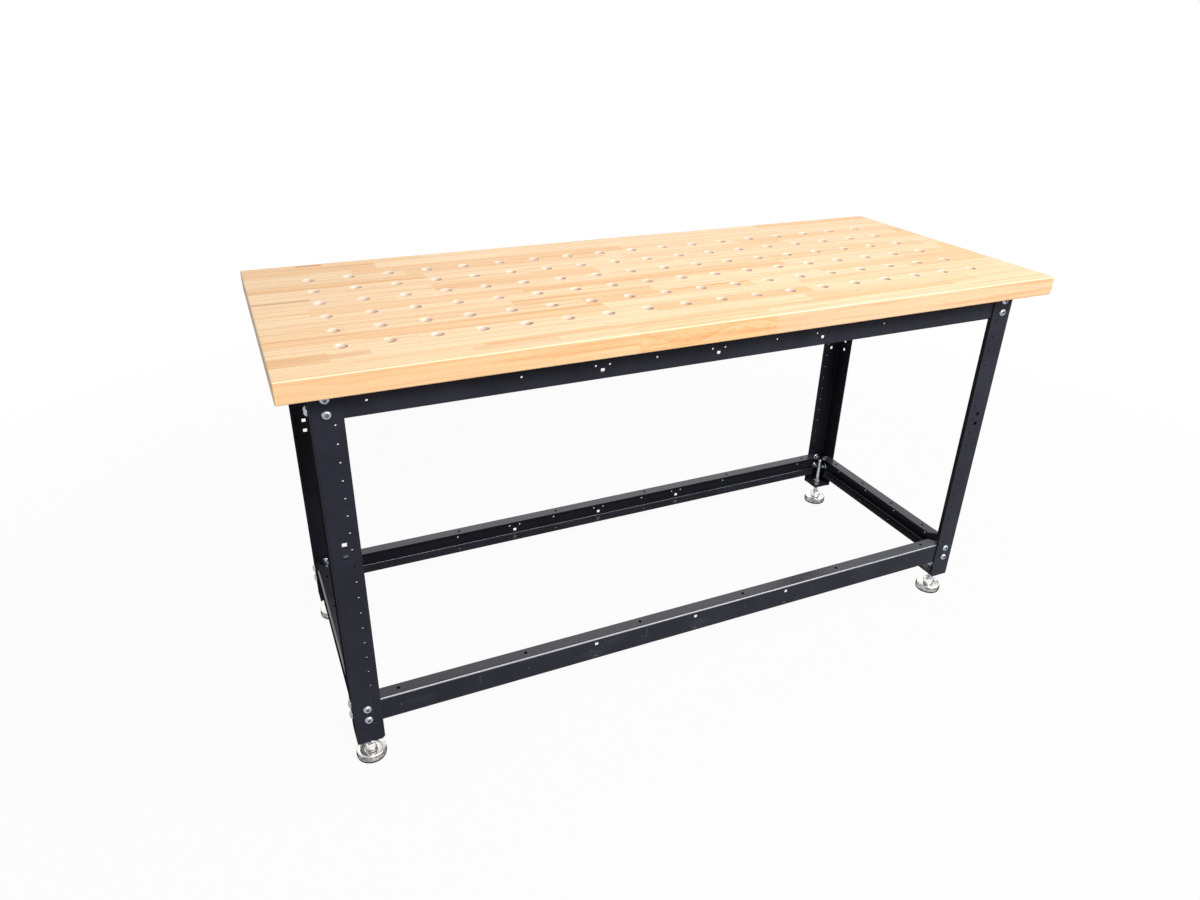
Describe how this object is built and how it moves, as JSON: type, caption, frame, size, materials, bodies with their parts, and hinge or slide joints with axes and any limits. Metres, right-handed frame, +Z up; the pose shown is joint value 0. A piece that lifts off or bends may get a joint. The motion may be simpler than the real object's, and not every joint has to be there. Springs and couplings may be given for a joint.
{
  "type": "assembly table",
  "caption": "Laminated hardwood table top with a grid of dog holes on a bolted steel frame of angle legs and channel rails, with screw-adjusted levelling feet.",
  "frame": {"origin": "on the floor, below the middle of the top", "axes": "+X along the length, to the right; +Y to the back; +Z up"},
  "size_m": [1.5, 0.6, 0.7933],
  "materials": {
    "top_wood": "oiled pale hardwood staves",
    "frame_powder_coat": "satin charcoal powder coat",
    "zinc_plate": "bright zinc plate",
    "nickel_plate": "bright plated pressed steel",
    "foot_rubber": "matt black rubber"
  },
  "bodies": {
    "frame": {"bench_top": "top_wood", "leg_front_left": "frame_powder_coat", "leg_front_right": "frame_powder_coat", "leg_rear_left": "frame_powder_coat", "leg_rear_right": "frame_powder_coat", "rail_lower_front": "frame_powder_coat", "rail_lower_rear": "frame_powder_coat", "rail_lower_left": "frame_powder_coat", "rail_lower_right": "frame_powder_coat", "rail_upper_front": "frame_powder_coat", "rail_upper_rear": "frame_powder_coat", "rail_upper_left": "frame_powder_coat", "rail_upper_right": "frame_powder_coat", "bolt_front_left_lower_long_bottom": "zinc_plate", "bolt_front_left_lower_long_top": "zinc_plate", "bolt_front_left_lower_short_bottom": "zinc_plate", "bolt_front_left_lower_short_top": "zinc_plate", "bolt_front_left_upper_long_bottom": "zinc_plate", "bolt_front_left_upper_long_top": "zinc_plate", "bolt_front_left_upper_short_bottom": "zinc_plate", "bolt_front_left_upper_short_top": "zinc_plate", "bolt_front_right_lower_long_bottom": "zinc_plate", "bolt_front_right_lower_long_top": "zinc_plate", "bolt_front_right_lower_short_bottom": "zinc_plate", "bolt_front_right_lower_short_top": "zinc_plate", "bolt_front_right_upper_long_bottom": "zinc_plate", "bolt_front_right_upper_long_top": "zinc_plate", "bolt_front_right_upper_short_bottom": "zinc_plate", "bolt_front_right_upper_short_top": "zinc_plate", "bolt_rear_left_lower_long_bottom": "zinc_plate", "bolt_rear_left_lower_long_top": "zinc_plate", "bolt_rear_left_lower_short_bottom": "zinc_plate", "bolt_rear_left_lower_short_top": "zinc_plate", "bolt_rear_left_upper_long_bottom": "zinc_plate", "bolt_rear_left_upper_long_top": "zinc_plate", "bolt_rear_left_upper_short_bottom": "zinc_plate", "bolt_rear_left_upper_short_top": "zinc_plate", "bolt_rear_right_lower_long_bottom": "zinc_plate", "bolt_rear_right_lower_long_top": "zinc_plate", "bolt_rear_right_lower_short_bottom": "zinc_plate", "bolt_rear_right_lower_short_top": "zinc_plate", "bolt_rear_right_upper_long_bottom": "zinc_plate", "bolt_rear_right_upper_long_top": "zinc_plate", "bolt_rear_right_upper_short_bottom": "zinc_plate", "bolt_rear_right_upper_short_top": "zinc_plate"},
    "foot_front_left": {"foot_pad_front_left": "nickel_plate", "foot_rubber_front_left": "foot_rubber"},
    "stud_front_left": {"foot_stud_front_left": "zinc_plate"},
    "foot_front_right": {"foot_pad_front_right": "nickel_plate", "foot_rubber_front_right": "foot_rubber"},
    "stud_front_right": {"foot_stud_front_right": "zinc_plate"},
    "foot_rear_left": {"foot_pad_rear_left": "nickel_plate", "foot_rubber_rear_left": "foot_rubber"},
    "stud_rear_left": {"foot_stud_rear_left": "zinc_plate"},
    "foot_rear_right": {"foot_pad_rear_right": "nickel_plate", "foot_rubber_rear_right": "foot_rubber"},
    "stud_rear_right": {"foot_stud_rear_right": "zinc_plate"}
  },
  "joints": [
    {"name": "foot_height_front_left", "type": "slide", "parent": "frame", "child": "foot_front_left", "axis": [0, 0, 1], "range_m": [-0.05, 0.022]},
    {"name": "stud_turn_front_left", "type": "hinge", "parent": "foot_front_left", "child": "stud_front_left", "pos_m": [-0.679, -0.229, 0.06], "axis": [0, 0, 1], "range_deg": [-12060, 5340]},
    {"name": "foot_height_front_right", "type": "slide", "parent": "frame", "child": "foot_front_right", "axis": [0, 0, 1], "range_m": [-0.05, 0.022]},
    {"name": "stud_turn_front_right", "type": "hinge", "parent": "foot_front_right", "child": "stud_front_right", "pos_m": [0.679, -0.229, 0.06], "axis": [0, 0, 1], "range_deg": [-12060, 5340]},
    {"name": "foot_height_rear_left", "type": "slide", "parent": "frame", "child": "foot_rear_left", "axis": [0, 0, 1], "range_m": [-0.05, 0.022]},
    {"name": "stud_turn_rear_left", "type": "hinge", "parent": "foot_rear_left", "child": "stud_rear_left", "pos_m": [-0.679, 0.229, 0.06], "axis": [0, 0, 1], "range_deg": [-12060, 5340]},
    {"name": "foot_height_rear_right", "type": "slide", "parent": "frame", "child": "foot_rear_right", "axis": [0, 0, 1], "range_m": [-0.05, 0.022]},
    {"name": "stud_turn_rear_right", "type": "hinge", "parent": "foot_rear_right", "child": "stud_rear_right", "pos_m": [0.679, 0.229, 0.06], "axis": [0, 0, 1], "range_deg": [-12060, 5340]}
  ],
  "couplings": [
    {"joint": "stud_turn_front_left", "follows": "foot_height_front_left", "rad_per_m": 4188.8},
    {"joint": "stud_turn_front_right", "follows": "foot_height_front_right", "rad_per_m": 4188.8},
    {"joint": "stud_turn_rear_left", "follows": "foot_height_rear_left", "rad_per_m": 4188.8},
    {"joint": "stud_turn_rear_right", "follows": "foot_height_rear_right", "rad_per_m": 4188.8}
  ]
}
